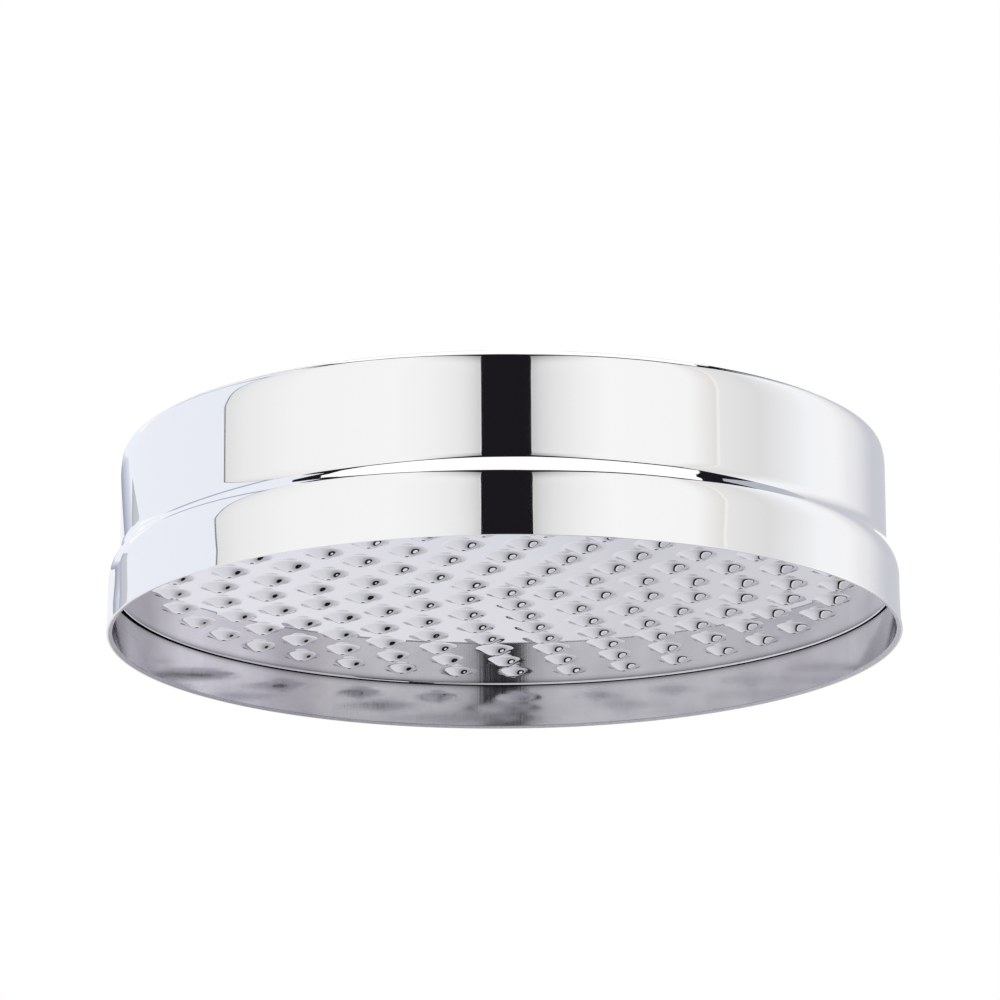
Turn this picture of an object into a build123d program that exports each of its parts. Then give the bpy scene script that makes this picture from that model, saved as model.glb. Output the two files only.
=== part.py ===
from build123d import *
import math
import os

# Rain shower head: a stepped spun drum with a recessed, pressed spray plate.
# Millimetres. The origin is the centre of the rim, and +Z points up to the inlet.

# Spun drum
skirt_diameter = 200.0
skirt_height = 16.0
shoulder_step = 3.0
shoulder_height = 4.0
drum_height = 27.0
shell_sheet = 1.2
top_edge_bevel = 1.4

# Flared rim
rim_flare = 0.3
rim_flare_height = 7.0
rim_land = 0.7
rim_bevel_height = 2.0

# Pressed spray plate
plate_sheet = 0.8
plate_edge_bevel = 1.0
plate_flange_height = 3.7
plate_clearance = 0.15

# Jets, pressed out of the plate with few sides so that the pattern stays light
ring_pitch = 12.0
jets_in_first_ring = 5
pattern_angle = 6.15
jet_sides = 8
jet_base_diameter = 8.4
jet_height = 1.6
orifice_diameter = 1.1

# Inlet boss with its half-inch pipe thread, bored to the thread's minor diameter
thread_minor_diameter = 18.63
thread_depth = 11.0
thread_relief = 0.8
boss_wall = 4.2
boss_height = 13.0
boss_flange_width = 5.0
boss_flange_height = 2.5
spigot_wall = 3.2
spigot_clearance = 0.1
ledge_width = 2.8
ledge_height = 2.1

# Washer and strainer in the inlet
seal_clearance = 0.15
washer_width = 4.5
washer_height = 2.0
screen_sheet = 0.5
screen_hole_width = 1.7
screen_hole_pitch = 2.4

# Radii and levels that follow from them
skirt_radius = skirt_diameter / 2
drum_radius = skirt_radius - shoulder_step
skirt_inner_radius = skirt_radius - shell_sheet
drum_inner_radius = drum_radius - shell_sheet
rim_radius = skirt_radius + rim_flare
shoulder_top = skirt_height + shoulder_height
body_height = shoulder_top + drum_height
top_underside = body_height - shell_sheet

# The inner corners of the shoulder lie lower than the outer ones, so that the cone is as thick as the walls
shoulder_slope = math.hypot(shoulder_step, shoulder_height)
corner_drop = shell_sheet * (shoulder_slope - shoulder_height) / shoulder_step
inner_shoulder_foot = skirt_height - corner_drop
inner_shoulder_top = shoulder_top - corner_drop

# The plate hangs from the shoulder by its turned-up flange
plate_radius = skirt_inner_radius - plate_clearance
plate_flange_inner = plate_radius - plate_sheet
plate_underside = inner_shoulder_foot - plate_flange_height
plate_top = plate_underside + plate_sheet
orifice_radius = orifice_diameter / 2
jet_base_radius = jet_base_diameter / 2

# The boss stands on the drum's top, with its spigot through the hole there
thread_radius = thread_minor_diameter / 2
boss_flats_radius = thread_radius + boss_wall
boss_corner_radius = boss_flats_radius / math.cos(math.pi / 6)
boss_flange_radius = boss_corner_radius + boss_flange_width
boss_top = body_height + boss_height
boss_flange_top = body_height + boss_flange_height
spigot_radius = thread_radius + spigot_wall
boss_hole_radius = spigot_radius + spigot_clearance
seat_radius = thread_radius + thread_relief
waterway_radius = thread_radius - ledge_width

# The strainer lies on the boss's ledge, and the washer on the strainer
screen_ledge = boss_top - thread_depth - washer_height - screen_sheet
screen_top = screen_ledge + screen_sheet
washer_top = screen_top + washer_height
spigot_end = min(screen_ledge, top_underside) - ledge_height
seal_radius = seat_radius - seal_clearance
washer_bore_radius = seal_radius - washer_width


def turned(*section):
    """A solid of revolution about Z from the corners of its half section, each a radius and a level."""
    outline = Polyline(*section, close=True)
    return revolve(make_face(Plane.XZ * outline), axis=Axis.Z)


def drum_shell():
    """Top, upper wall, shoulder, skirt and flared rim, spun from one sheet."""
    return turned(
        (rim_radius, 0),
        (skirt_radius, rim_flare_height),
        (skirt_radius, skirt_height),
        (drum_radius, shoulder_top),
        (drum_radius, body_height - top_edge_bevel),
        (drum_radius - top_edge_bevel, body_height),
        (boss_hole_radius, body_height),
        (boss_hole_radius, top_underside),
        (drum_inner_radius, top_underside),
        (drum_inner_radius, inner_shoulder_top),
        (skirt_inner_radius, inner_shoulder_foot),
        (skirt_inner_radius, rim_bevel_height),
        (rim_radius - rim_land, 0),
    )


def plate_pan():
    """The plate before its jets are pressed: a flat disc with its edge turned up into a flange."""
    return turned(
        (0, plate_underside),
        (plate_radius - plate_edge_bevel, plate_underside),
        (plate_radius, plate_underside + plate_edge_bevel),
        (plate_radius, inner_shoulder_foot),
        (plate_flange_inner, inner_shoulder_foot),
        (plate_flange_inner, plate_top),
        (0, plate_top),
    )


def jet_places():
    """The centre jet, then rings that each add the first ring's count, as many as the flat has room for."""
    reach = plate_radius - plate_edge_bevel - jet_base_radius
    centres = [Location()]
    for number in range(1, int(reach // ring_pitch) + 1):
        centres += PolarLocations(
            number * ring_pitch, number * jets_in_first_ring, start_angle=pattern_angle, rotate=False
        )
    return [Pos(Z=plate_underside) * centre for centre in centres]


def polygon_corners(radius, level):
    """The corners of a jet's outline at one level."""
    return [Vector(radius, 0, level).rotate(Axis.Z, 360 * side / jet_sides) for side in range(jet_sides)]


def tapered_punch(slope, top, overrun):
    """A pyramid, apex down, that is as wide as the orifice at the jet's tip and stops a little below it.

    The slope is its fall for each millimetre of radius, and the overrun a share of the orifice's radius.
    """
    bottom = -jet_height - overrun * orifice_radius * slope
    upper = polygon_corners(orifice_radius + (top + jet_height) / slope, top)
    lower = polygon_corners(orifice_radius * (1 - overrun), bottom)
    outlines = [[upper[side - 1], upper[side], lower[side], lower[side - 1]] for side in range(jet_sides)]
    return Solid(Shell([Face(Wire.make_polygon(outline)) for outline in outlines + [upper, lower]]))


def spray_plate():
    """The pan with every jet pressed out as a hollow point, which its own hollow pierces at the tip."""
    flank = jet_base_radius - orifice_radius
    outside = tapered_punch(jet_height / flank, plate_sheet / 2, 1 / 2)
    hollow = tapered_punch((jet_height + plate_sheet) / flank, plate_sheet * 2, 3 / 4)
    places = jet_places()
    plate = plate_pan() + [place * outside for place in places]
    return plate - [place * hollow for place in places]


def inlet_boss():
    """Spigot, flange and a six-sided body in one piece, bored for the thread, the seals and the waterway."""
    turning = turned(
        (0, spigot_end),
        (spigot_radius, spigot_end),
        (spigot_radius, body_height),
        (boss_flange_radius, body_height),
        (boss_flange_radius, boss_flange_top),
        (0, boss_flange_top),
    )
    hexagon = Pos(Z=boss_flange_top) * RegularPolygon(boss_corner_radius, 6)
    bore = turned(
        (0, spigot_end),
        (waterway_radius, spigot_end),
        (waterway_radius, screen_ledge),
        (seat_radius, screen_ledge),
        (seat_radius, washer_top),
        (thread_radius, washer_top),
        (thread_radius, boss_top),
        (0, boss_top),
    )
    return turning + extrude(hexagon, boss_top - boss_flange_top) - bore


def filter_screen():
    """A strainer disc with a grid of square holes inside the washer's bore."""
    disc = extrude(Pos(Z=screen_ledge) * Circle(seal_radius), screen_sheet)
    hole = extrude(Pos(Z=screen_ledge) * Rectangle(screen_hole_width, screen_hole_width), screen_sheet)
    reach = washer_bore_radius - screen_hole_width * math.sqrt(2) / 2
    count = 2 * int(reach // screen_hole_pitch) + 1
    grid = GridLocations(screen_hole_pitch, screen_hole_pitch, count, count)
    return disc - [place * hole for place in grid if place.position.length <= reach]


def inlet_washer():
    """The rubber washer over the strainer, which the arm's end presses on."""
    return turned(
        (washer_bore_radius, screen_top),
        (seal_radius, screen_top),
        (seal_radius, washer_top),
        (washer_bore_radius, washer_top),
    )


os.makedirs("parts", exist_ok=True)
for make in (drum_shell, spray_plate, inlet_boss, filter_screen, inlet_washer):
    piece = make()
    export_step(piece, f"parts/{make.__name__}.step")
    print(make.__name__, "volume", round(piece.volume, 1))
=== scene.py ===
# %% [markdown]
# # A rain shower head, polished like a mirror
# The part is a round drum spun from sheet brass, with a pressed spray plate set back inside its skirt
# and a threaded inlet on top. All of it is chrome plated.
# Chrome has almost no colour of its own: what we see in it is the room. So half of this lesson builds
# a small photo studio, and the other half makes surfaces that are smooth enough to mirror it.
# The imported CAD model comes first. It is the frame that every piece below has to fit.

# %% Load the frame
import math
import random

import bpy
from mathutils import Matrix, Vector
from mathutils.geometry import delaunay_2d_cdt


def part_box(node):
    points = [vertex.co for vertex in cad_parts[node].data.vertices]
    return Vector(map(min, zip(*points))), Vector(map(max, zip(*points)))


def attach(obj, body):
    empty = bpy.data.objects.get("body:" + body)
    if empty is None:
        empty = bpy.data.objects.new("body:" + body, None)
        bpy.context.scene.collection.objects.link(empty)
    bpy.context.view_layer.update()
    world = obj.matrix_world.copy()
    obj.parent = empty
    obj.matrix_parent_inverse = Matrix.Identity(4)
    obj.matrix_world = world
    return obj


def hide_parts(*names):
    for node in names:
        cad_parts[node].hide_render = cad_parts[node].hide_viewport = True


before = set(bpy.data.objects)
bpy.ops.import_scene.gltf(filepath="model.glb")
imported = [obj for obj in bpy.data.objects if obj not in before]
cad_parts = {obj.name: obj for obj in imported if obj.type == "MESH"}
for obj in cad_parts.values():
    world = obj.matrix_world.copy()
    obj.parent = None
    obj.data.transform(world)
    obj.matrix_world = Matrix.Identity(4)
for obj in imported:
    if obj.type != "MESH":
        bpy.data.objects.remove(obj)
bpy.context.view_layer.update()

MM = 0.001

# %% [markdown]
# ## The camera
# The photo looks up at the head from below, with a long lens, so the ellipses are flat and the
# sides hardly converge. Guessing such a view by hand takes many tries. It is better to match a few
# points of the photo, here the tips of the jets, and to write down the angles that come out.
# The camera stands below the rim on the -Y side, and its distance is counted from the jets' tips.

# %% Camera
plate_low, plate_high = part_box("spray_plate")
view_distance = 1.5257
view_below = math.radians(14.462)
tilt_up = math.radians(15.396)
turn_left = math.radians(0.036)
roll = math.radians(-0.356)
focal_length = 217.3

camera = bpy.data.objects.new("camera", bpy.data.cameras.new("camera"))
bpy.context.scene.collection.objects.link(camera)
camera.data.lens = focal_length
stand_point = Vector((
    0,
    -view_distance * math.cos(view_below),
    plate_low.z - view_distance * math.sin(view_below),
))
camera.matrix_world = (
    Matrix.Translation(stand_point)
    @ Matrix.Rotation(turn_left, 4, "Z")
    @ Matrix.Rotation(math.pi / 2 + tilt_up, 4, "X")
    @ Matrix.Rotation(roll, 4, "Z")
)
bpy.context.scene.camera = camera
bpy.context.scene.view_settings.view_transform = "Standard"
print("camera stands at", [round(place, 3) for place in stand_point])

# %% [markdown]
# ## The room's light
# The background of the photo is plain white. A world of strength 1 gives exactly that, to the camera
# and to everything that mirrors it. The light that falls on matt surfaces is set apart and lower, so
# that the white sheet behind doesn't also flood the object. The Light Path node tells the two apart.

# %% World
def add_node(nodes, kind, **values):
    """A new node with some of its settings or input values filled in."""
    node = nodes.new("ShaderNode" + kind)
    for name, value in values.items():
        if name in node.inputs:
            node.inputs[name].default_value = value
        else:
            setattr(node, name, value)
    return node


room_light = (0.86, 0.88, 0.92, 1)
room_strength = 0.75

world = bpy.data.worlds.new("studio_air")
bpy.context.scene.world = world
world.use_nodes = True
world.node_tree.nodes.clear()
air, wires = world.node_tree.nodes, world.node_tree.links
rays = add_node(air, "LightPath")
seen_or_mirrored = add_node(air, "Math", operation="MAXIMUM")
seen_at_all = add_node(air, "Math", operation="MAXIMUM")
fill = add_node(air, "Background", Color=room_light, Strength=room_strength)
white_sheet = add_node(air, "Background", Color=(1, 1, 1, 1), Strength=1.0)
choose = add_node(air, "MixShader")
sky = add_node(air, "OutputWorld")
wires.new(rays.outputs["Is Camera Ray"], seen_or_mirrored.inputs[0])
wires.new(rays.outputs["Is Glossy Ray"], seen_or_mirrored.inputs[1])
wires.new(seen_or_mirrored.outputs[0], seen_at_all.inputs[0])
wires.new(rays.outputs["Is Transmission Ray"], seen_at_all.inputs[1])
wires.new(seen_at_all.outputs[0], choose.inputs[0])
wires.new(fill.outputs[0], choose.inputs[1])
wires.new(white_sheet.outputs[0], choose.inputs[2])
wires.new(choose.outputs[0], sky.inputs["Surface"])
print("world: white where it is seen, strength", room_strength, "where it lights")

# %% [markdown]
# ## The floor's paint
# The floor lies below the camera, so the photo's own view never meets it, but the spray plate mirrors
# a patch of it behind the head: its lilac white is the colour of most of the plate. A matt surface gives
# the floor its shadow. For mirrored rays it glows in its own colour instead, as the white sheet does,
# because a floor that is lit by soft boxes would otherwise come out patchy in the plate.
# Two ramps draw that colour, one along the room and one across it, since no real floor is lit evenly.

# %% Floor paint
def new_material(name):
    """An empty node material with its output."""
    material = bpy.data.materials.new(name)
    material.use_nodes = True
    nodes, links = material.node_tree.nodes, material.node_tree.links
    nodes.clear()
    return material, nodes, links, add_node(nodes, "OutputMaterial")


def add_ramp(nodes, links, source, stops):
    """A colour ramp on a value, with its stops given as positions and colours."""
    ramp = add_node(nodes, "ValToRGB")
    links.new(source, ramp.inputs[0])
    marks = ramp.color_ramp.elements
    while len(marks) < len(stops):
        marks.new(1.0)
    for mark, (position, colour) in zip(marks, stops):
        mark.position = position
        mark.color = (*colour, 1)
    return ramp.outputs["Color"]


def share_of(nodes, links, source, start, end):
    """Where a value lies between two others, from 0 to 1."""
    part = add_node(nodes, "MapRange")
    part.inputs["From Min"].default_value = start
    part.inputs["From Max"].default_value = end
    links.new(source, part.inputs["Value"])
    return part.outputs[0]


def multiply(nodes, links, first, second):
    """The product of two colours."""
    product = add_node(nodes, "MixRGB", blend_type="MULTIPLY")
    product.inputs[0].default_value = 1.0
    links.new(first, product.inputs[1])
    links.new(second, product.inputs[2])
    return product.outputs[0]


def grey(level):
    """A neutral colour."""
    return (level, level, level)


matt_white = (0.80, 0.80, 0.82, 1)
patch_near, patch_far = 3.1, 3.9
patch_left, patch_right = -0.34, 0.34

floor_paint, nodes, links, output = new_material("floor_paint")
axes = add_node(nodes, "SeparateXYZ")
links.new(add_node(nodes, "TexCoord").outputs["Object"], axes.inputs[0])
along_room = add_ramp(nodes, links, share_of(nodes, links, axes.outputs["Y"], patch_near, patch_far), [
    (0.0, (0.79, 0.785, 0.825)),
    (0.15, (0.70, 0.74, 0.82)),
    (0.26, (0.74, 0.76, 0.83)),
    (0.40, (0.79, 0.785, 0.835)),
    (0.88, (0.79, 0.785, 0.835)),
    (1.0, (0.72, 0.715, 0.765)),
])
across_room = add_ramp(nodes, links, share_of(nodes, links, axes.outputs["X"], patch_left, patch_right), [
    (0.0, grey(1.0)),
    (0.20, grey(1.02)),
    (0.32, grey(0.98)),
    (0.52, grey(0.95)),
    (0.58, grey(0.90)),
    (0.66, grey(0.82)),
    (0.80, grey(0.83)),
    (1.0, grey(0.83)),
])
matt = add_node(nodes, "BsdfDiffuse", Color=matt_white)
sheen = add_node(nodes, "Emission")
rays = add_node(nodes, "LightPath")
choose = add_node(nodes, "MixShader")
links.new(multiply(nodes, links, along_room, across_room), sheen.inputs["Color"])
links.new(rays.outputs["Is Glossy Ray"], choose.inputs[0])
links.new(matt.outputs[0], choose.inputs[1])
links.new(sheen.outputs[0], choose.inputs[2])
links.new(choose.outputs[0], output.inputs["Surface"])
print("floor paint with a patch", round(patch_far - patch_near, 2), "m deep for the plate to mirror")

# %% [markdown]
# ## The floor
# One big face is enough for a floor. Like every sheet of the studio it is built from its corners, and
# it carries coordinates from 0 to 1, which the glowing sheets below use for their ramps.

# %% Floor
def add_sheet(name, corners, material):
    """One flat sheet of the studio, with coordinates from 0 to 1 over its first four corners."""
    mesh = bpy.data.meshes.new(name)
    mesh.from_pydata(corners, [], [tuple(range(len(corners)))])
    flat_map = mesh.uv_layers.new()
    for loop, place in zip(flat_map.data, ((0, 0), (1, 0), (1, 1), (0, 1))):
        loop.uv = place
    mesh.materials.append(material)
    sheet = bpy.data.objects.new(name, mesh)
    bpy.context.scene.collection.objects.link(sheet)
    return sheet


floor_level = -0.9
floor_reach = 9.0

add_sheet("floor", [
    (-floor_reach, -floor_reach, floor_level),
    (floor_reach, -floor_reach, floor_level),
    (floor_reach, floor_reach, floor_level),
    (-floor_reach, floor_reach, floor_level),
], floor_paint)
print("floor at", floor_level, "m, below the camera")

# %% [markdown]
# ## The dark slot
# The camera looks at the head through a slot between two soft boxes, and behind it hangs a black cloth.
# The drum mirrors the slot as its black stripe.
# A lamp object could light the part, but a mirror shows the lamp itself. So whatever the chrome mirrors
# is a sheet that glows, and a black cloth is a sheet that hardly does. The camera doesn't see the
# sheets, and they neither light nor shade the floor: other views move the camera round the head, and
# the sheets would stand in the way.

# %% Dark slot
def glow(name, stops, corner=None):
    """A glowing finish whose colour runs along a sheet through the given stops.

    A corner, given by its reach, its start and its shade, makes the sheet's upper start darker.
    """
    material, nodes, links, output = new_material(name)
    axes = add_node(nodes, "SeparateXYZ")
    light = add_node(nodes, "Emission")
    links.new(add_node(nodes, "TexCoord").outputs["UV"], axes.inputs[0])
    colour = add_ramp(nodes, links, axes.outputs["X"], stops)
    if corner:
        reach, start, shade = corner
        depth = add_node(nodes, "Math", operation="MULTIPLY")
        links.new(share_of(nodes, links, axes.outputs["X"], reach, 0.0), depth.inputs[0])
        links.new(share_of(nodes, links, axes.outputs["Y"], start, 1.0), depth.inputs[1])
        dimming = add_ramp(nodes, links, depth.outputs[0], [(0.0, grey(1.0)), (1.0, shade)])
        colour = multiply(nodes, links, colour, dimming)
    links.new(colour, light.inputs["Color"])
    links.new(light.outputs[0], output.inputs["Surface"])
    return material


def leave_to_mirrors(sheet):
    """Hides a sheet from the camera and from matt surfaces, so that only mirrors show it."""
    sheet.visible_camera = False
    sheet.visible_diffuse = False
    sheet.visible_shadow = False


def hang(name, corners, stops, corner=None):
    """A glowing sheet that only mirrors show."""
    leave_to_mirrors(add_sheet(name, corners, glow(name, stops, corner)))


def add_wall(name, start, end, bottom, top, stops):
    """An upright sheet between two points of the plan."""
    hang(name, [(*start, bottom), (*end, bottom), (*end, top), (*start, top)], stops)


def even(colour):
    """The stops of a sheet that has one colour all over."""
    return [(0.0, colour), (1.0, colour)]


rim_level = 0.0
roof_level = 1.9
cloth_left, cloth_right = (-0.9, -1.8), (0.9, -1.8)
cloth = even((0.0112, 0.0101, 0.0130))
cloth_below_rim = even(grey(0.04))

add_wall("black_cloth", cloth_left, cloth_right, rim_level, roof_level, cloth)
add_wall("black_cloth_low", cloth_left, cloth_right, floor_level, rim_level, cloth_below_rim)
print("black cloth", cloth_right[0] - cloth_left[0], "m wide behind the slot")

# %% [markdown]
# ## The soft boxes
# Two tall soft boxes stand left and right of the slot, and the drum mirrors them as two pale fields.
# A box is brightest in its middle. It falls off towards its edges, most of all in the upper corner at
# the slot, where only a fine piping stays light.
# Each edge is placed where the mirrored ray goes: a wall that faces the angle a mirrors the angle 2a.
# The upper halves lean in towards the head, so that the drum's rounded edges still meet them.
# Thin strips at the outer edges draw the fine outlines there, dark on the left and cream on the right.

# %% Soft boxes
def add_box(name, inner, outer, inner_top, outer_top, stops, bottom, corner=None):
    """A soft box: its lower half is upright, and its upper half leans in to the points at the top."""
    add_wall(name + "_foot", inner, outer, bottom, box_bend, stops)
    hang(name + "_head", [
        (*inner, box_bend),
        (*outer, box_bend),
        (*outer_top, box_top),
        (*inner_top, box_top),
    ], stops, corner)


def beside(point, step):
    """A point of the plan, moved by a step."""
    return (point[0] + step[0], point[1] + step[1])


box_bend = 0.38
box_top = 1.08
left_box_inner, left_box_inner_top = (-0.139, -1.29), (-0.139, -1.109)
left_box_outer, left_box_outer_top = (-1.0, -0.058), (-0.915, 0.0015)
left_box_corner = (0.37, 0.3, grey(0.44))
right_box_inner, right_box_inner_top = (0.178, -1.286), (0.178, -1.1055)
right_box_outer, right_box_outer_top = (0.9655, -0.49), (0.875, -0.4007)
right_box_corner = (0.50, 0.3, grey(0.42))

add_box("left_soft_box", left_box_inner, left_box_outer, left_box_inner_top, left_box_outer_top, [
    (0.0, grey(0.84)),
    (0.004, grey(0.82)),
    (0.007, grey(0.64)),
    (0.06, grey(0.77)),
    (0.13, grey(0.86)),
    (0.25, grey(0.93)),
    (0.40, grey(0.97)),
    (0.70, grey(0.95)),
    (0.90, grey(0.87)),
    (1.0, grey(0.78)),
], floor_level, left_box_corner)
add_box("right_soft_box", right_box_inner, right_box_outer, right_box_inner_top, right_box_outer_top, [
    (0.0, grey(0.70)),
    (0.006, grey(0.68)),
    (0.010, grey(0.60)),
    (0.07, grey(0.72)),
    (0.15, grey(0.81)),
    (0.30, grey(0.91)),
    (0.45, grey(0.98)),
    (0.85, grey(0.965)),
    (1.0, (0.80, 0.78, 0.76)),
], floor_level, right_box_corner)

left_frame_step = (0.0, 0.010)
right_frame_step = (0.006, 0.020)
left_frame_outer = beside(left_box_outer, left_frame_step)
left_frame_outer_top = beside(left_box_outer_top, left_frame_step)
right_frame_outer = beside(right_box_outer, right_frame_step)
right_frame_outer_top = beside(right_box_outer_top, right_frame_step)
add_box("left_frame", left_box_outer, left_frame_outer, left_box_outer_top, left_frame_outer_top,
        even(grey(0.22)), rim_level)
add_box("right_frame", right_box_outer, right_frame_outer, right_box_outer_top, right_frame_outer_top,
        [(0.0, (0.90, 0.885, 0.83)), (1.0, (0.91, 0.90, 0.87))], rim_level)
print("soft boxes up to", box_top, "m, leaning from", box_bend, "m")

# %% [markdown]
# ## The tent's sides
# Beside the boxes the room is closed by a white tent, which the drum mirrors towards its left and right
# edges. What hangs below the rim's level has tones of its own: only the jets and the wall inside the
# skirt mirror it. A grey rail along the left side draws a thin line in the drum's bends there.

# %% Tent sides
left_tent_end = (-0.97, 1.2)
left_tent_top = 1.74
right_tent_end = (1.05, 0.6)
right_tent_top = 1.2
rail_set_in = (0.01, 0.0)
rail_bottom, rail_top = 0.97, 1.09

add_wall("left_tent", left_frame_outer, left_tent_end, rim_level, left_tent_top, [
    (0.0, (0.855, 0.885, 0.95)),
    (1.0, (0.88, 0.90, 0.965)),
])
add_wall("left_tent_low", left_box_outer, left_tent_end, floor_level, rim_level, even((0.88, 0.865, 0.89)))
add_wall("left_tent_rail", beside(left_frame_outer, rail_set_in), beside(left_tent_end, rail_set_in),
         rail_bottom, rail_top, even((0.40, 0.44, 0.53)))
add_wall("right_tent", right_frame_outer, right_tent_end, rim_level, right_tent_top, [
    (0.0, grey(0.83)),
    (0.25, grey(0.755)),
    (0.60, (0.945, 0.955, 0.975)),
    (0.85, (0.96, 0.96, 0.97)),
    (1.0, (0.89, 0.89, 0.90)),
])
add_wall("right_tent_low", right_box_outer, right_tent_end, floor_level, rim_level, [
    (0.0, (0.78, 0.76, 0.79)),
    (0.24, (0.82, 0.80, 0.83)),
    (0.45, (1.12, 1.10, 1.14)),
    (0.75, (1.26, 1.24, 1.28)),
    (1.0, (1.12, 1.10, 1.14)),
])
print("tent sides up to", left_tent_top, "m on the left and", right_tent_top, "m on the right")

# %% [markdown]
# ## The tent's back
# A round wall mirrors what lies behind it near its outline, so the drum's limbs show the back of the
# tent. On the left it is made of strips, one above the other, with a dim shelf between two white ones.
# On the right it is one sheet that darkens away from the corner, and this shades the drum's right limb.

# %% Tent back
def add_back_strip(name, bottom, top, stops):
    """A strip of the tent's back on the left, whose colour runs from its bottom to its top."""
    hang(name, [
        (back_left, back_wall, bottom),
        (back_left, back_wall, top),
        (back_right, back_wall, top),
        (back_right, back_wall, bottom),
    ], stops)


back_wall = 2.5
back_left, back_right = -2.6, -0.30
back_top = 1.2
shelf_bottom, shelf_top = 0.745, 0.84
high_tent_bottom = 0.9
right_tent_back = (0.55, 2.0)
right_tent_low_back = (0.40, 2.4)

add_wall("left_tent_high", left_tent_end, (left_tent_end[0], back_wall), high_tent_bottom, roof_level, [
    (0.0, (0.89, 0.91, 0.98)),
    (1.0, (0.93, 0.94, 1.0)),
])
add_back_strip("back_left_foot", floor_level, rim_level, even((0.80, 0.795, 0.84)))
add_back_strip("back_left_low", rim_level, shelf_bottom, even((0.90, 0.91, 0.95)))
add_back_strip("back_left_shelf", shelf_bottom, shelf_top, [
    (0.0, (0.28, 0.29, 0.35)),
    (0.15, (0.40, 0.42, 0.53)),
    (0.45, (0.55, 0.58, 0.70)),
    (0.9, (0.74, 0.77, 0.85)),
    (1.0, (0.86, 0.89, 0.97)),
])
add_back_strip("back_left_high", shelf_top, back_top, even((0.88, 0.91, 0.98)))
add_wall("back_right_tent", right_tent_end, right_tent_back, rim_level, right_tent_top, [
    (0.0, (0.88, 0.88, 0.90)),
    (0.10, (0.82, 0.82, 0.835)),
    (0.17, (0.75, 0.755, 0.79)),
    (0.25, (0.67, 0.67, 0.72)),
    (0.37, (0.60, 0.61, 0.655)),
    (0.65, (0.60, 0.61, 0.66)),
    (1.0, (0.64, 0.65, 0.69)),
])
add_wall("back_right_low", right_tent_end, right_tent_low_back, floor_level, rim_level, [
    (0.0, (1.08, 1.06, 1.10)),
    (0.22, (0.66, 0.645, 0.68)),
    (0.60, (0.62, 0.61, 0.65)),
    (1.0, (0.46, 0.46, 0.49)),
])
print("tent closed", back_wall, "m behind the head")

# %% [markdown]
# ## The roof
# A roof light over the head gives the shoulder and the top edge their bright band. Past its ends the
# black roof shows: that is the black notch at both ends of the band. The light's front follows the
# boxes' tops, so only a fine dark line is left between them, and its sides follow the rays that the
# drum's bends send up, so the band stops at the same place in every bend.
# On the right a grey ceiling draws the streak after the notch. At the back hang two dark curtains,
# which give the top edge its fine outline.

# %% Roof
def add_ceiling(name, plan, level, stops):
    """A level sheet over the given points of the plan."""
    hang(name, [(*point, level) for point in plan], stops)


roof_light_left, roof_light_right = -0.94, 0.985
roof_light_back = 2.6
black_level = roof_level + 0.05
black_left, black_right = -1.4, 1.85
black_front, black_back = -1.9, 2.8
ceiling_front, ceiling_back = 0.52, 4.6
ceiling_right = 1.8
curtain_foot = 0.95

add_ceiling("roof_light", [
    (roof_light_left, roof_light_back),
    (roof_light_left, 0.15),
    (-1.02, -0.20),
    (-0.98, -0.58),
    (-0.70, -1.02),
    (-0.45, -1.23),
    (-0.203, -1.35),
    (0.26, -1.41),
    (0.60, -1.24),
    (0.90, -0.95),
    (1.30, -0.55),
    (1.48, -0.29),
    (roof_light_right, 0.33),
    (0.97, 0.56),
    (0.76, 1.05),
    (0.52, 1.90),
    (0.38, roof_light_back),
], roof_level, even(grey(1.1)))
add_ceiling("black_roof", [
    (black_left, black_front),
    (black_right, black_front),
    (black_right, black_back),
    (black_left, black_back),
], black_level, cloth)
add_ceiling("grey_ceiling", [
    (1.115, ceiling_front),
    (0.80, ceiling_back),
    (ceiling_right, ceiling_back),
    (ceiling_right, ceiling_front),
], roof_level, [
    (0.0, (0.46, 0.495, 0.55)),
    (0.10, (0.464, 0.50, 0.557)),
    (0.36, (0.585, 0.625, 0.675)),
    (0.93, (0.766, 0.766, 0.805)),
])
for name, left, right in (("left_curtain", -0.42, -0.03), ("right_curtain", 0.10, 0.30)):
    add_wall(name, (left, black_back), (right, black_back), curtain_foot, black_level, cloth)
print("roof light", round(roof_light_right - roof_light_left, 2), "m wide under a black roof")

# %% [markdown]
# ## A round reflector
# Each jet in the photo carries a small dark-edged oval on its right flank. It is a round reflector with
# a dark hem, lying low on the right, and the shade that it throws on the floor around it. The jets on
# the left see it from further off, so there it shrinks to a dot. Small convex mirrors tell a lot about
# a room.
# The disc, its hem and the shade are one level sheet with a ramp on the distance from its centre. Outside
# the hem the sheet grows clear, so the floor shows through it, and only mirrored rays meet it at all.

# %% Reflector
reflector_centre = (1.40, 0.12, -0.5545)
reflector_radius = 1.280
reflector_hem = 0.065
shade_reach = 0.6
hem_colour = grey(0.010)
outer_radius = reflector_radius + shade_reach
disc_edge = reflector_radius / outer_radius
hem_edge = (reflector_radius - reflector_hem) / outer_radius
edge_blur = 0.002
rim_light_start, rim_light_full = 0.035, 0.014
shade_falls = [(edge_blur, 0.42), (0.04, 0.27), (0.08, 0.17), (0.16, 0.06)]

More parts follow.
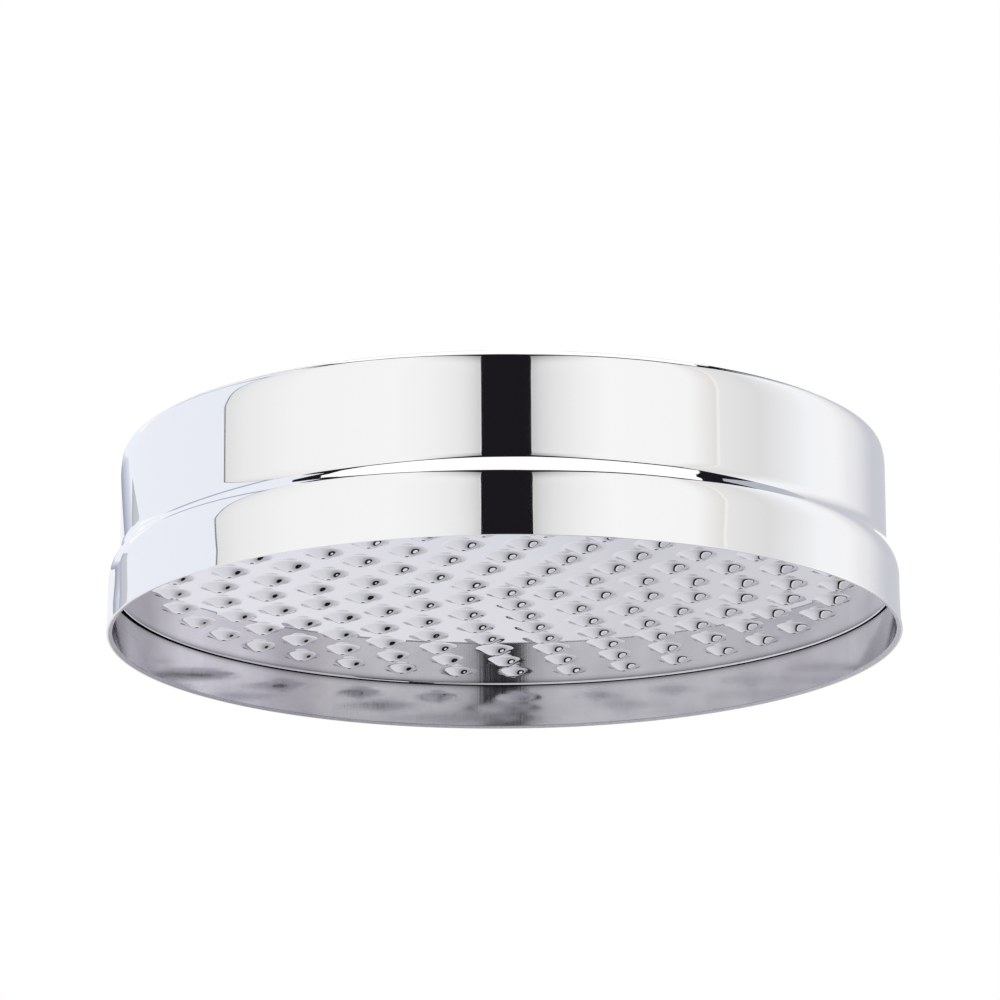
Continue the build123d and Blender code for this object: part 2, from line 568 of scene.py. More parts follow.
disc_material, nodes, links, output = new_material("round_reflector")
away = add_node(nodes, "VectorMath", operation="DISTANCE")
away.inputs[1].default_value = reflector_centre
links.new(add_node(nodes, "TexCoord").outputs["Object"], away.inputs[0])
outwards = share_of(nodes, links, away.outputs["Value"], 0.0, outer_radius)
disc_light = add_node(nodes, "Emission")
links.new(add_ramp(nodes, links, outwards, [
    (0.0, (0.56, 0.555, 0.60)),
    (hem_edge - rim_light_start, (0.58, 0.575, 0.62)),
    (hem_edge - rim_light_full, (0.79, 0.785, 0.82)),
    (hem_edge - edge_blur, (0.87, 0.865, 0.90)),
    (hem_edge, hem_colour),
    (1.0, hem_colour),
]), disc_light.inputs["Color"])
cover = add_ramp(nodes, links, outwards, [
    (0.0, grey(1.0)),
    (disc_edge, grey(1.0)),
    *[(disc_edge + past, grey(level)) for past, level in shade_falls],
    (1.0, grey(0.0)),
])
clear = add_node(nodes, "BsdfTransparent")
choose = add_node(nodes, "MixShader")
links.new(cover, choose.inputs[0])
links.new(clear.outputs[0], choose.inputs[1])
links.new(disc_light.outputs[0], choose.inputs[2])
links.new(choose.outputs[0], output.inputs["Surface"])

reflector_plan = [
    beside(reflector_centre, (side_x * outer_radius, side_y * outer_radius))
    for side_x, side_y in ((-1, -1), (1, -1), (1, 1), (-1, 1))
]
reflector = add_sheet("round_reflector", [(*point, reflector_centre[2]) for point in reflector_plan],
                      disc_material)
leave_to_mirrors(reflector)
print("reflector of", round(2 * reflector_radius, 2), "m low on the right")

# %% [markdown]
# ## A light stand
# The head of a grey light stand at the back left gives the thin streaks near the drum's left edge. It is
# darker below its joint. A mirror this good shows even such small things, and a studio without them
# looks too clean.

# %% Light stand
stand_left, stand_right = (-0.415, 0.36), (-0.332, 0.36)
stand_foot, stand_joint, stand_top = 0.05, 0.127, 0.162

add_wall("light_stand", stand_left, stand_right, stand_joint, stand_top, [
    (0.0, (0.60, 0.62, 0.67)),
    (0.7, (0.55, 0.57, 0.61)),
    (1.0, (0.42, 0.43, 0.47)),
])
add_wall("light_stand_foot", stand_left, stand_right, stand_foot, stand_joint, [
    (0.0, (0.50, 0.51, 0.56)),
    (0.35, (0.36, 0.37, 0.41)),
    (0.6, (0.50, 0.51, 0.55)),
    (0.85, (0.42, 0.43, 0.47)),
    (1.0, (0.28, 0.29, 0.32)),
])
print("light stand", round((stand_right[0] - stand_left[0]) / MM), "mm wide")

# %% [markdown]
# ## Polished chrome
# A perfect mirror looks artificial. Real plating follows the sheet below it: the buffing wheel leaves
# long soft waves, far too shallow to feel, that make mirrored edges wander a little, and it leaves
# patches with a touch more haze. Two noise textures do both, one through a bump of about a hundredth
# of a millimetre, the other through roughness.
# Where the colour is the same all over, it sits on the shader itself. Only the plate differs: a ramp on
# how level the surface lies makes the slopes of its jets a little darker, which is painted shade.

# %% Chrome finish
def metal(name, colour):
    """A metal with nothing but its colour."""
    material, nodes, links, output = new_material(name)
    shader = add_node(nodes, "BsdfPrincipled", Metallic=1.0)
    shader.inputs["Base Color"].default_value = (*colour, 1)
    links.new(shader.outputs[0], output.inputs["Surface"])
    return material, nodes, links, shader


def add_haze(nodes, links, shader, vector, scale, least, most):
    """Roughness that wanders between two values."""
    patches = add_node(nodes, "TexNoise", Scale=scale, Detail=3.0)
    spread = add_node(nodes, "MapRange")
    spread.inputs["From Min"].default_value = noise_low
    spread.inputs["From Max"].default_value = noise_high
    spread.inputs["To Min"].default_value = least
    spread.inputs["To Max"].default_value = most
    links.new(vector, patches.inputs["Vector"])
    links.new(patches.outputs[0], spread.inputs["Value"])
    links.new(spread.outputs[0], shader.inputs["Roughness"])


def add_relief(nodes, links, shader, vector, scale, depth):
    """A bump of the given depth, in metres, from a noise texture."""
    waves = add_node(nodes, "TexNoise", Scale=scale, Detail=1.0)
    bump = add_node(nodes, "Bump", Strength=1.0, Distance=depth)
    links.new(vector, waves.inputs["Vector"])
    links.new(waves.outputs[0], bump.inputs["Height"])
    links.new(bump.outputs[0], shader.inputs["Normal"])


def polished_chrome(name, colour, haze, wave_depth, slope_shade=None):
    """Chrome over a buffed surface. Its slopes may take a darker colour, which is painted shade."""
    material, nodes, links, shader = metal(name, colour)
    place = add_node(nodes, "TexCoord").outputs["Object"]
    add_haze(nodes, links, shader, place, haze_scale, *haze)
    add_relief(nodes, links, shader, place, wave_scale, wave_depth)
    # Painted shade: a ramp on how level the surface lies gives the slopes a darker colour.
    if slope_shade:
        axes = add_node(nodes, "SeparateXYZ")
        level = add_node(nodes, "Math", operation="ABSOLUTE")
        links.new(add_node(nodes, "NewGeometry").outputs["Normal"], axes.inputs[0])
        links.new(axes.outputs["Z"], level.inputs[0])
        links.new(add_ramp(nodes, links, level.outputs[0], [
            (slope_level, slope_shade),
            (flat_level, colour),
        ]), shader.inputs["Base Color"])
    return material


noise_low, noise_high = 0.3, 0.7
haze_scale = 60.0
wave_scale = 38.0
slope_level, flat_level = 0.985, 0.9985

shell_chrome = polished_chrome("shell_chrome", (0.935, 0.935, 0.94), haze=(0.015, 0.035), wave_depth=0.000012)
# The plate's darker slope colour is painted shade on its jets.
plate_chrome = polished_chrome("plate_chrome", (0.92, 0.92, 0.935), haze=(0.003, 0.012), wave_depth=0.000004,
                               slope_shade=(0.85, 0.85, 0.87))
boss_chrome = polished_chrome("boss_chrome", (0.90, 0.90, 0.91), haze=(0.04, 0.10), wave_depth=0.000010)
print("chrome for the shell, the plate and the boss")

# %% [markdown]
# ## Satin chrome inside the skirt
# The inside of the skirt was never buffed. It is plated over the fine marks that were left when the
# drum was cleaned up, which run up and down the wall, so it is greyer, soft in its reflections and
# streaked where it mirrors something dark.
# The streaks need a coordinate that runs round the wall. The angle about the axis times the radius is
# just that, so the noise can be fine along the wall and long up and down it.
# A ramp on the height darkens the plating towards the corner at the plate: painted shade in that crevice.

# %% Satin finish
def satin_chrome(name, radius):
    """Unbuffed plating with upright streaks on a round wall."""
    material, nodes, links, shader = metal(name, grey(0.6))
    place = add_node(nodes, "TexCoord").outputs["Object"]
    axes = add_node(nodes, "SeparateXYZ")
    angle = add_node(nodes, "Math", operation="ARCTAN2")
    round_wall = add_node(nodes, "Math", operation="MULTIPLY")
    round_wall.inputs[1].default_value = radius / streak_width
    up_wall = add_node(nodes, "Math", operation="MULTIPLY")
    up_wall.inputs[1].default_value = 1 / streak_length
    wall = add_node(nodes, "CombineXYZ")
    links.new(place, axes.inputs[0])
    links.new(axes.outputs["Y"], angle.inputs[0])
    links.new(axes.outputs["X"], angle.inputs[1])
    links.new(angle.outputs[0], round_wall.inputs[0])
    links.new(axes.outputs["Z"], up_wall.inputs[0])
    links.new(round_wall.outputs[0], wall.inputs["X"])
    links.new(up_wall.outputs[0], wall.inputs["Y"])
    add_haze(nodes, links, shader, wall.outputs[0], 1.0, *streak_haze)
    add_relief(nodes, links, shader, wall.outputs[0], 1.0, streak_depth)
    clouds = add_node(nodes, "TexNoise", Scale=cloud_scale, Detail=5.0)
    links.new(place, clouds.inputs["Vector"])
    plating = add_ramp(nodes, links, clouds.outputs[0], [
        (0.35, (0.485, 0.478, 0.512)),
        (0.65, (0.555, 0.548, 0.582)),
    ])
    # Painted shade: darker towards the corner where the wall meets the plate.
    corner_shade = add_ramp(nodes, links, share_of(nodes, links, axes.outputs["Z"], *corner_levels), [
        (0.0, grey(1.0)),
        (0.45, grey(0.86)),
        (0.78, grey(0.55)),
        (1.0, grey(0.14)),
    ])
    links.new(multiply(nodes, links, plating, corner_shade), shader.inputs["Base Color"])
    return material


streak_width = 0.0004
streak_length = 0.03
streak_depth = 0.000006
streak_haze = (0.08, 0.16)
cloud_scale = 90.0
corner_levels = (9.9 * MM, 11.6 * MM)
skirt_satin = satin_chrome("skirt_satin", plate_high.x)
print("satin streaks", streak_width / MM, "mm wide")

# %% [markdown]
# ## The filed edge inside the rim
# The rim's inner edge was eased with a file, which leaves a narrow bevel full of short rough marks. Three
# noise textures make them: in the colour, in the relief and in the roughness. So the bevel mirrors
# nothing clearly, and it reads as a thin pale line along the rim.

# %% Filed edge
def filed_edge(name):
    """A narrow bevel, filed by hand: rough, with a fine grain."""
    material, nodes, links, shader = metal(name, grey(0.5))
    place = add_node(nodes, "TexCoord").outputs["Object"]
    add_haze(nodes, links, shader, place, file_haze_scale, *file_haze)
    add_relief(nodes, links, shader, place, file_mark_scale, file_mark_depth)
    grain = add_node(nodes, "TexNoise", Scale=file_grain_scale, Detail=3.0)
    links.new(place, grain.inputs["Vector"])
    links.new(add_ramp(nodes, links, grain.outputs[0], [
        (0.35, (0.52, 0.51, 0.54)),
        (0.60, (0.64, 0.63, 0.66)),
    ]), shader.inputs["Base Color"])
    return material


file_haze_scale = 700.0
file_haze = (0.30, 0.45)
file_mark_scale = 2500.0
file_mark_depth = 0.00001
file_grain_scale = 1800.0
rim_filed = filed_edge("rim_filed")
print("filed edge with marks about", round(1 / file_mark_scale / MM, 1), "mm long")

# %% [markdown]
# ## Turning: one helper for every round piece
# The drum, the plate's edge, the jets and the washer are all shapes that a lathe could turn. Blender
# has a Screw modifier and a spin operator for that. Here the points are placed one by one instead,
# because a mirror shows the smallest fault in its normals, and this way each point gets the exact
# normal of its outline. The outline runs counter-clockwise: up the outside, then down the inside.
# A corner of spun sheet is never an arc. It starts gently and tightens, as a parabola does, so each
# corner is given by how far from it the bend begins and ends.

# %% Turning helpers
def eased_outline(corners, closed=True, steps=10):
    """Points and normals of an outline, with a parabola at each corner.

    A corner is its radius, its level, and how far before and after it the bend reaches. The first and
    last corners of an open outline are plain points.
    """
    outline = []
    last = len(corners) - 1
    for number, (radius, level, before, after) in enumerate(corners):
        corner = Vector((radius, level))
        back = Vector(corners[number - 1][:2]) - corner
        ahead = Vector(corners[(number + 1) % len(corners)][:2]) - corner
        if not closed and number in (0, last):
            run = ahead if number == 0 else -back
            outline.append((corner, Vector((run.y, -run.x)).normalized()))
            continue
        start = corner + back.normalized() * before
        end = corner + ahead.normalized() * after
        for step in range(steps + 1):
            share = step / steps
            point = start * (1 - share) ** 2 + corner * 2 * share * (1 - share) + end * share ** 2
            run = (corner - start) * (1 - share) + (end - corner) * share
            outline.append((point, Vector((run.y, -run.x)).normalized()))
    return outline


def new_skin():
    """An empty surface: its points, their normals and the faces between them."""
    return {"points": [], "normals": [], "faces": []}


def turn(skin, outline, count, centre=(0.0, 0.0), closed=True):
    """Adds an outline, in mm, turned about an upright axis, and gives its rings of point numbers."""
    rings = []
    for point, normal in outline:
        first = len(skin["points"])
        for step in range(count):
            angle = 2 * math.pi * step / count
            across, along = math.cos(angle), math.sin(angle)
            skin["points"].append((
                (centre[0] + point.x * across) * MM,
                (centre[1] + point.x * along) * MM,
                point.y * MM,
            ))
            skin["normals"].append((normal.x * across, normal.x * along, normal.y))
        rings.append(range(first, first + count))
    pairs = list(zip(rings, rings[1:]))
    if closed:
        pairs.append((rings[-1], rings[0]))
    for lower, upper in pairs:
        for step in range(count):
            after = (step + 1) % count
            skin["faces"].append((lower[step], lower[after], upper[after], upper[step]))
    return rings


def make_piece(name, skin, node, materials):
    """Turns a surface into a piece that stands for one CAD node."""
    mesh = bpy.data.meshes.new(name)
    mesh.from_pydata(skin["points"], [], skin["faces"])
    for material in materials:
        mesh.materials.append(material)
    mesh.shade_smooth()
    if skin["normals"]:
        mesh.normals_split_custom_set_from_vertices(skin["normals"])
    piece = bpy.data.objects.new(name, mesh)
    bpy.context.scene.collection.objects.link(piece)
    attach(piece, "root")
    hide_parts(node)
    mesh.calc_loop_triangles()
    print(name, "has", len(mesh.loop_triangles), "triangles")
    return piece


# %% [markdown]
# ## The drum
# One disc of sheet brass, spun over a former: a flat top, the upper wall, a sloping shoulder, the
# wider skirt and a rim that flares a little. The sheet is the same all over, so the inside follows
# the outside. The CAD solid has plain bevels; here each edge bends as the photo's reflections say it does.
# Inside the rim there is a filed bevel, with a fine line scribed above it. A material is a matter of
# faces: those that look inwards below the shoulder take the satin finish, and the bevel takes the filed one.

# %% Drum shell
shell_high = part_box("drum_shell")[1]
shell_sheet = 1.2
skirt_radius = 100.0
drum_radius = 97.0
skirt_top = 16.0
shoulder_top = 20.0
bend_drop = 0.3
body_height = shell_high.z / MM
corner_drop = 0.4
rim_radius = shell_high.x / MM
flare_height = 7.0
lip_height = 0.4
lip_land = 0.5
scribe_width = 0.13
scribe_depth = 0.13
lip_rounding = 0.10
boss_hole_radius = 12.615
inside = skirt_radius - shell_sheet
rim_bend = (0.2, 0.3)
flare_bend = (3.0, 4.0)
skirt_bend = (3.5, 2.2)
shoulder_bend = (2.2, 1.8)
top_bend = (6.2, 1.8)
hole_bend = (0.15, 0.15)
inner_top_bend = (1.5, 1.5)
inner_shoulder_bend = (1.0, 0.5)
inner_skirt_bend = (0.5, 1.0)
scribe_bend = 0.02
shell_count = 360
inward = -0.2

shell_corners = [
    (rim_radius, 0.0, *rim_bend),
    (skirt_radius, flare_height, *flare_bend),
    (skirt_radius, skirt_top - bend_drop, *skirt_bend),
    (drum_radius, shoulder_top, *shoulder_bend),
    (drum_radius, body_height, *top_bend),
    (boss_hole_radius, body_height, *hole_bend),
    (boss_hole_radius, body_height - shell_sheet, *hole_bend),
    (drum_radius - shell_sheet, body_height - shell_sheet, *inner_top_bend),
    (drum_radius - shell_sheet, shoulder_top - corner_drop, *inner_shoulder_bend),
    (inside, skirt_top - corner_drop, *inner_skirt_bend),
    (inside, lip_height + 2 * scribe_width, scribe_bend, scribe_bend),
    (inside + scribe_depth, lip_height + scribe_width, scribe_bend, scribe_bend),
    (inside, lip_height, scribe_bend, lip_rounding),
    (rim_radius - lip_land, 0.0, lip_rounding, lip_rounding),
]
shell_skin = new_skin()
turn(shell_skin, eased_outline(shell_corners), shell_count)
shell_finishes = [shell_chrome, skirt_satin, rim_filed]
shell = make_piece("drum_shell_spun", shell_skin, "drum_shell", shell_finishes)
inner_faces = 0
for face in shell.data.polygons:
    outward = Vector((face.center.x, face.center.y, 0)).normalized()
    if face.normal.dot(outward) < inward and face.center.z < skirt_top * MM:
        finish = rim_filed if face.center.z < lip_height * MM else skirt_satin
        face.material_index = shell_finishes.index(finish)
        inner_faces += 1
print(inner_faces, "faces inside the skirt are satin or filed")

# %% [markdown]
# ## The jets' pattern
# The spray plate is a shallow pan of thin sheet. Its jets are pressed out as small points, and each point
# is pierced at its tip, so water leaves it as a thread. They lie in rings of 5, 10, 15 and so on. A ring's
# length grows as its jets do, so the jets are about as far apart along a ring as the rings are from each
# other, and the rain is even.

# %% Jet pattern
def jet_places():
    """The centre jet and the rings round it."""
    places = [(0.0, 0.0)]
    for ring in range(1, ring_count + 1):
        jets = ring * jets_in_first_ring
        for number in range(jets):
            angle = pattern_angle + 2 * math.pi * number / jets
            places.append((ring * ring_pitch * math.cos(angle), ring * ring_pitch * math.sin(angle)))
    return places


ring_pitch = 12.0
jets_in_first_ring = 5
ring_count = 7
pattern_angle = math.radians(6.15)
print(len(jet_places()), "jets in", ring_count, "rings", ring_pitch, "mm apart")

# %% [markdown]
# ## The shape of one jet
# A pressed point is round and flared: its flank starts level, is steepest about half way and eases into
# the tip. A power of the share from the foot times a power of the share to the tip gives such a slope.
# Adding the slope up gives the rise, and the slope itself gives the exact normals.

# %% Jet shape
plate_sheet = 0.8
jet_tip = plate_low.z / MM
jet_height = 1.6
plate_under = jet_tip + jet_height
plate_over = plate_under + plate_sheet
jet_radius = 5.97
orifice_radius = 0.55
tip_wall = 0.35
tip_land = 0.08
burr_width, burr_height = 0.03, 0.02
foot_easing = 2.44
tip_easing = 1.90
flank_steps = 16
hollow_steps = 3


def flank_shape(share):
    """How steep the flank is at a share of the way from its foot to its tip, before it is scaled."""
    return share ** foot_easing * (1 - share) ** tip_easing


def jet_flank(steps, height):
    """Radius, rise and slope at each step of the flank, from its foot to the orifice."""
    fine = 40
    reach = jet_radius - orifice_radius / 2
    climb = [0.0]
    for step in range(steps * fine):
        climb.append(climb[-1] + flank_shape((step + 0.5) / (steps * fine)))
    scale = height / (climb[-1] * reach / (steps * fine))
    stop = (jet_radius - orifice_radius) / reach
    flank = []
    for step in range(steps + 1):
        share = stop * step / steps
        rise = height * climb[round(share * steps * fine)] / climb[-1]
        flank.append((jet_radius - reach * share, rise, flank_shape(share) * scale))
    return flank


def jet_outline(height):
    """The jet's section: down its hollow, round the orifice and back out along its flank."""
    hollow_share = (height + plate_sheet - tip_wall) / height
    tip = plate_under - height
    outline = []
    for radius, rise, slope in jet_flank(hollow_steps, height):
        outline.append((
            Vector((radius, plate_over - rise * hollow_share)),
            Vector((-slope * hollow_share, 1)).normalized(),
        ))
    outline.append((Vector((orifice_radius, tip + tip_wall / 3)), Vector((-1, 0))))
    outline.append((Vector((orifice_radius + burr_width, tip + burr_height)), Vector((-1, -1)).normalized()))
    for radius, rise, slope in reversed(jet_flank(flank_steps, height)):
        widened = radius + tip_land * (jet_radius - radius) / jet_radius
        outline.append((Vector((widened, plate_under - rise)), Vector((slope, -1)).normalized()))
    return outline


steepest = max(slope for radius, rise, slope in jet_flank(flank_steps, jet_height))
print("a flank is", round(math.degrees(math.atan(steepest))), "degrees steep at most")

# %% [markdown]
# ## Pressing the jets
# A modifier could raise a grid into bumps, but a mirror shows every facet of a grid. So each jet is
# turned about its own axis, and the flat between them is filled in the next step.
# No press strikes twice alike: a seeded random number makes each jet a little higher or lower than the
# next one, and those towards the plate's sides are a little higher.

# %% Jets
jet_sides = 24
side_gain = 0.075
right_gain = 0.035
press_wear = 0.022
press = random.Random(12)
plate_skin = new_skin()
upper_feet, lower_feet = [], []
for place in jet_places():
    from_middle = place[0] / (ring_count * ring_pitch)
    gain = side_gain * from_middle ** 2 + right_gain * from_middle
    height = jet_height * (1 + gain + press.uniform(-press_wear, press_wear))
    rings = turn(plate_skin, jet_outline(height), jet_sides, place, closed=False)
    upper_feet.append(rings[0])
    lower_feet.append(rings[-1])
print(len(lower_feet), "jets of", len(rings), "rings each")

# %% [markdown]
# ## The plate's flat and its edge
# The edge is turned up into a flange that hangs in the drum's shoulder. A small bead runs round the
# turn and draws a thin light line, and the gap beside it draws the dark seam between plate and skirt. The
# plate sits a quarter of a millimetre off the middle, so the seam is not equally wide all round.
# The flat is filled with triangles that end exactly on the jets' feet. Delaunay triangulation does that.
# Flat, edge and jets are one skin, because a mirror would show any joint between them.

# %% Plate
plate_radius = plate_high.x / MM
flange_wall = 0.8
seam_gap = 0.42
plate_shift = (0.10, -0.25)
flange_radius_seen = plate_radius - math.hypot(*plate_shift)
joggle_level = plate_under + 2.4
joggle_height = 0.5
edge_bend = 0.2
bead_width = 0.20
bead_drop = 0.28
bead_bend = 0.08
flange_bend = 0.15
joggle_inner_bend = 0.1
flat_margin = 0.3
flange_top = plate_high.z / MM
flat_edge = inside - seam_gap
edge_count = 360
edge_corners = [
    (flat_edge - bead_width - edge_bend - flat_margin, plate_under, 0, 0),
    (flat_edge - bead_width, plate_under, edge_bend, bead_bend),
    (flat_edge, plate_under - bead_drop, bead_bend, bead_bend),
    (flat_edge, joggle_level, edge_bend, edge_bend),
    (flange_radius_seen, joggle_level + joggle_height, edge_bend, edge_bend),
    (flange_radius_seen, flange_top, flange_bend, flange_bend),
    (flange_radius_seen - flange_wall, flange_top, flange_bend, flange_bend),
    (flange_radius_seen - flange_wall, joggle_level + joggle_height, joggle_inner_bend, joggle_inner_bend),
    (flat_edge - flange_wall, joggle_level, joggle_inner_bend, joggle_inner_bend),
    (flat_edge - flange_wall, plate_over, flat_margin, flat_margin),
    (flat_edge - flange_wall - flat_margin, plate_over, 0, 0),
]


def fill_flat(skin, border, feet, faces_up):
    """Fills the flat between the plate's edge and the feet of the jets with triangles."""
    numbers = list(border) + [number for foot in feet for number in foot]
    flat = [Vector(skin["points"][number][:2]) for number in numbers]
    edges = []
    first = 0
    for loop in [border, *feet]:
        count = len(loop)
        edges += [(first + step, first + (step + 1) % count) for step in range(count)]
        first += count
    found = delaunay_2d_cdt(flat, edges, [], 0, 1e-9)
    sources = [numbers[origins[0]] for origins in found[3]]
    centres = [Vector(place) * MM for place in jet_places()]
    hole = (jet_radius * math.cos(math.pi / jet_sides) * MM) ** 2
    for triangle in found[2]:
        middle = (found[0][triangle[0]] + found[0][triangle[1]] + found[0][triangle[2]]) / 3
        if all((middle - centre).length_squared > hole for centre in centres):
            corners = [sources[corner] for corner in triangle]
            skin["faces"].append(tuple(corners if faces_up else reversed(corners)))


edge_steps = 3
edge_outline = eased_outline(edge_corners, closed=False, steps=edge_steps)
edge_rings = turn(plate_skin, edge_outline, edge_count, plate_shift, closed=False)
fill_flat(plate_skin, edge_rings[0], lower_feet, faces_up=False)
fill_flat(plate_skin, edge_rings[-1], upper_feet, faces_up=True)
make_piece("spray_plate_pressed", plate_skin, "spray_plate", [plate_chrome])
print("seam of", seam_gap, "mm between the plate and the skirt")

# %% [markdown]
# ## The hexagon and the thread
# The inlet boss is a piece of hexagon bar, turned to a flange and a spigot, bored and tapped for a
# half-inch pipe. Its corners are chamfered on the lathe, which leaves a curved edge on each flat.
# Booleans could cut a hexagon with a cone and a thread, but they leave long thin faces that shade badly.
# A stack of rings does it all: each ring has the same number of points, and a point's radius may
# depend on its angle. The hexagon and the thread are then two short formulas.

# %% Hexagon and thread
boss_low, boss_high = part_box("inlet_boss")
boss_top = boss_high.z / MM
flats_radius = 13.515
corner_rounding = 0.6
chamfer_radius = 13.1
chamfer_slope = math.tan(math.radians(30))
thread_minor = 9.315
thread_depth = 1.162
thread_pitch = 1.814
thread_bottom = 49.0
thread_lead_in = 1.5


def hexagon_radius(angle):
    """The distance from the axis to a hexagon with rounded corners."""
    sixth = math.pi / 3
    from_flat = (angle % sixth) - sixth / 2
    corner_centre = (flats_radius - corner_rounding) / math.cos(sixth / 2)
    if flats_radius * math.tan(abs(from_flat)) <= corner_centre * math.sin(sixth / 2):
        return flats_radius / math.cos(from_flat)
    from_corner = sixth / 2 - abs(from_flat)
    side = corner_centre * math.sin(from_corner)
    return corner_centre * math.cos(from_corner) + math.sqrt(corner_rounding ** 2 - side ** 2)


def chamfer_level(angle):
    """Where the chamfer's cone meets the hexagon."""
    return boss_top - (hexagon_radius(angle) - chamfer_radius) * chamfer_slope


def thread_radius(angle, level):
    """The bore's radius: a rounded thread that starts in a bevel and runs out above the seat."""
    turns = (level - thread_bottom) / thread_pitch - angle / (2 * math.pi)
    run_out = min(1.0, (level - thread_bottom) / thread_pitch)
    groove = thread_depth * (1 - math.cos(2 * math.pi * turns)) / 2 * run_out
    bevel = thread_minor + thread_lead_in - (boss_top - level)
    return max(thread_minor + groove, bevel)


print("hexagon of", round(2 * flats_radius, 1), "mm across its flats")
print("thread of", round((boss_top - thread_bottom) / thread_pitch, 1), "turns")

# %% [markdown]
# ## The inlet boss
# The rings run up the outside from the spigot's end, over the hexagon's top, and down through the thread
# and the seat to the waterway. In the thread they lie close together, ten to a turn, so that its rounded
# grooves stay smooth. Shading is smooth everywhere except across edges that turn more than the crease
# angle: the flats meet the chamfer sharply, and the thread's rows don't show.

# %% Boss
spigot_end = boss_low.z / MM
spigot_radius = 12.515
flange_radius = boss_high.x / MM
boss_flange_height = 2.5
boss_flange_top = body_height + boss_flange_height
seat_radius = 10.115
seat_level = 46.5
waterway_radius = 6.515
edge_break = 0.25
boss_count = 240
rows_per_pitch = 10
crease_angle = math.radians(28)


def add_ring(skin, radius_at, level_at, count):
    """Adds one ring whose radius and level, in mm, are functions of the angle."""
    first = len(skin["points"])
    for step in range(count):
        angle = 2 * math.pi * step / count
        radius = radius_at(angle) * MM
        skin["points"].append((radius * math.cos(angle), radius * math.sin(angle), level_at(angle) * MM))
    return range(first, first + count)


def plain(value):
    """The same value at every angle."""
    return lambda angle: value


boss_rings = [
    (plain(spigot_radius - edge_break), plain(spigot_end)),
    (plain(spigot_radius), plain(spigot_end + edge_break)),
    (plain(spigot_radius), plain(body_height)),
    (plain(flange_radius - edge_break), plain(body_height)),
    (plain(flange_radius), plain(body_height + edge_break)),
    (plain(flange_radius), plain(boss_flange_top - 2 * edge_break)),
    (plain(flange_radius - 2 * edge_break), plain(boss_flange_top)),
    (hexagon_radius, plain(boss_flange_top)),
    (hexagon_radius, chamfer_level),
    (plain(chamfer_radius), plain(boss_top)),
]
thread_rows = round((boss_top - thread_bottom) / thread_pitch * rows_per_pitch)
for row in range(thread_rows, -1, -1):
    level = thread_bottom + (boss_top - thread_bottom) * row / thread_rows
    boss_rings.append((lambda angle, level=level: thread_radius(angle, level), plain(level)))
boss_rings += [
    (plain(seat_radius), plain(thread_bottom)),
    (plain(seat_radius), plain(seat_level)),
    (plain(waterway_radius), plain(seat_level)),
    (plain(waterway_radius), plain(spigot_end)),
]
boss_skin = new_skin()
rings = [add_ring(boss_skin, radius_at, level_at, boss_count) for radius_at, level_at in boss_rings]
for lower, upper in zip(rings, rings[1:] + rings[:1]):
    for step in range(boss_count):
        after = (step + 1) % boss_count
        boss_skin["faces"].append((lower[step], lower[after], upper[after], upper[step]))
boss = make_piece("inlet_boss_turned", boss_skin, "inlet_boss", [boss_chrome])
boss.data.set_sharp_from_angle(angle=crease_angle)
print("boss of", len(rings), "rings")

# %% [markdown]
# ## The strainer
# Under the washer lies a disc of woven wire that keeps grit out of the jets. The CAD solid has a few
# square holes in its place. Here each wire is a curve that dips over and under the ones it crosses:
# a sine wave, one way round for even wires and the other way for odd ones. A pressed ring holds the edge.

# %% Strainer
screen_low, screen_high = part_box("filter_screen")
screen_radius = screen_high.x / MM
screen_middle = (screen_low.z + screen_high.z) / 2 / MM
wire_radius = 0.11
wire_pitch = 0.75
steps_per_pitch = 4
ring_width = 2.2
ring_bend = 0.12
ring_sides = 96
ring_steps = 4


def strainer_steel(name):
    """Stainless wire, drawn and a little dull."""
    material, nodes, links, shader = metal(name, (0.62, 0.61, 0.59))
    place = add_node(nodes, "TexCoord").outputs["Object"]
    add_haze(nodes, links, shader, place, scale=900.0, least=0.18, most=0.38)
    add_relief(nodes, links, shader, place, scale=2500.0, depth=0.000008)
    return material


def woven_wires():
    """A curve object with one spline for each wire of the weave."""
    weave = bpy.data.curves.new("weave", "CURVE")
    weave.dimensions = "3D"
    weave.bevel_depth = wire_radius * MM
    weave.bevel_resolution = 1
    reach = screen_radius - ring_width / 2
    wires_each_side = int(reach // wire_pitch)
    for number in range(-wires_each_side, wires_each_side + 1):
        offset = number * wire_pitch
        half = math.sqrt(reach ** 2 - offset ** 2)
        steps = max(steps_per_pitch, round(steps_per_pitch * half / wire_pitch))
        for crosswise in (False, True):
            spline = weave.splines.new("POLY")
            spline.points.add(steps)
            for step, point in enumerate(spline.points):
                along = -half + 2 * half * step / steps
                side = 1 if (number % 2 == 0) != crosswise else -1
                dip = side * wire_radius * math.cos(math.pi * along / wire_pitch)
                across = (offset, along) if crosswise else (along, offset)
                point.co = (across[0] * MM, across[1] * MM, (screen_middle + dip) * MM, 1)
    return weave


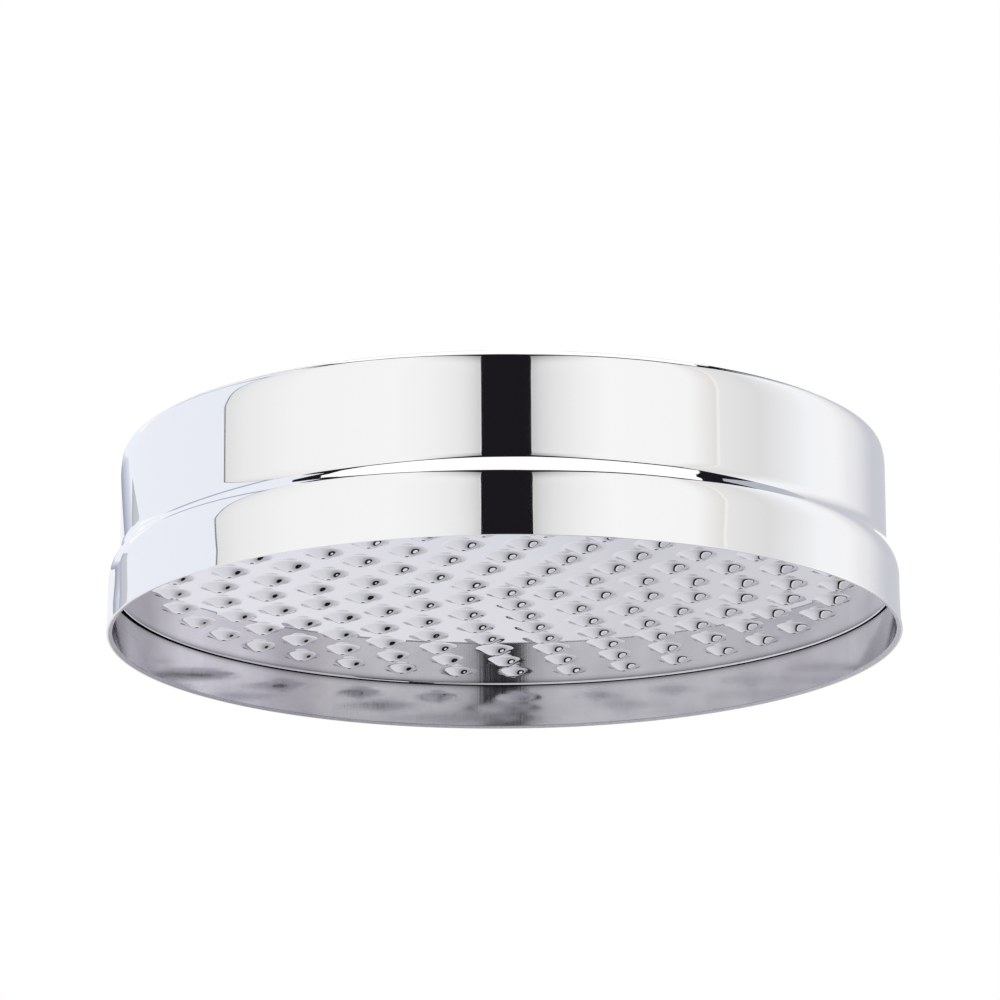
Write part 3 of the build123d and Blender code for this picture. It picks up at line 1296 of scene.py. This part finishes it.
screen_skin = new_skin()
ring_half = (screen_high.z - screen_low.z) / 2 / MM
turn(screen_skin, eased_outline([
    (screen_radius, screen_middle - ring_half, ring_bend, ring_bend),
    (screen_radius, screen_middle + ring_half, ring_bend, ring_bend),
    (screen_radius - ring_width, screen_middle + ring_half, ring_bend, ring_bend),
    (screen_radius - ring_width, screen_middle - ring_half, ring_bend, ring_bend),
], steps=ring_steps), ring_sides)
weave_object = bpy.data.objects.new("weave", woven_wires())
bpy.context.scene.collection.objects.link(weave_object)
weave_mesh = bpy.data.meshes.new_from_object(weave_object)
first = len(screen_skin["points"])
screen_skin["points"] += [tuple(vertex.co) for vertex in weave_mesh.vertices]
screen_skin["normals"] += [tuple(vertex.normal) for vertex in weave_mesh.vertices]
for face in weave_mesh.polygons:
    screen_skin["faces"].append(tuple(first + number for number in face.vertices))
bpy.data.objects.remove(weave_object)
bpy.data.meshes.remove(weave_mesh)
make_piece("filter_screen_woven", screen_skin, "filter_screen",
           [strainer_steel("strainer_steel")])
print("wires of", 2 * wire_radius, "mm,", wire_pitch, "mm apart")

# %% [markdown]
# ## The washer
# A rubber ring that the pipe's end presses on. Moulded rubber is matt, with a fine grain and edges
# that are never sharp, so it gets small bends at its corners and a noise bump.

# %% Washer
washer_low, washer_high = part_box("inlet_washer")
washer_radius = washer_high.x / MM
washer_bore = 5.465
washer_bend = 0.35
washer_sides = 128
washer_steps = 6


def washer_rubber(name):
    """Black moulded rubber with a dusty bloom."""
    material, nodes, links, output = new_material(name)
    shader = add_node(nodes, "BsdfPrincipled")
    links.new(shader.outputs[0], output.inputs["Surface"])
    place = add_node(nodes, "TexCoord").outputs["Object"]
    bloom = add_node(nodes, "TexNoise", Scale=700.0, Detail=4.0)
    links.new(place, bloom.inputs["Vector"])
    links.new(add_ramp(nodes, links, bloom.outputs[0], [
        (0.35, (0.018, 0.018, 0.020)),
        (0.75, (0.055, 0.055, 0.058)),
    ]), shader.inputs["Base Color"])
    add_haze(nodes, links, shader, place, scale=500.0, least=0.5, most=0.75)
    add_relief(nodes, links, shader, place, scale=4000.0, depth=0.00003)
    return material


washer_skin = new_skin()
turn(washer_skin, eased_outline([
    (washer_radius, washer_low.z / MM, washer_bend, washer_bend),
    (washer_radius, washer_high.z / MM, washer_bend, washer_bend),
    (washer_bore, washer_high.z / MM, washer_bend, washer_bend),
    (washer_bore, washer_low.z / MM, washer_bend, washer_bend),
], steps=washer_steps), washer_sides)
make_piece("inlet_washer_moulded", washer_skin, "inlet_washer",
           [washer_rubber("washer_rubber")])
print("washer", round((washer_high.z - washer_low.z) / MM, 2), "mm thick")
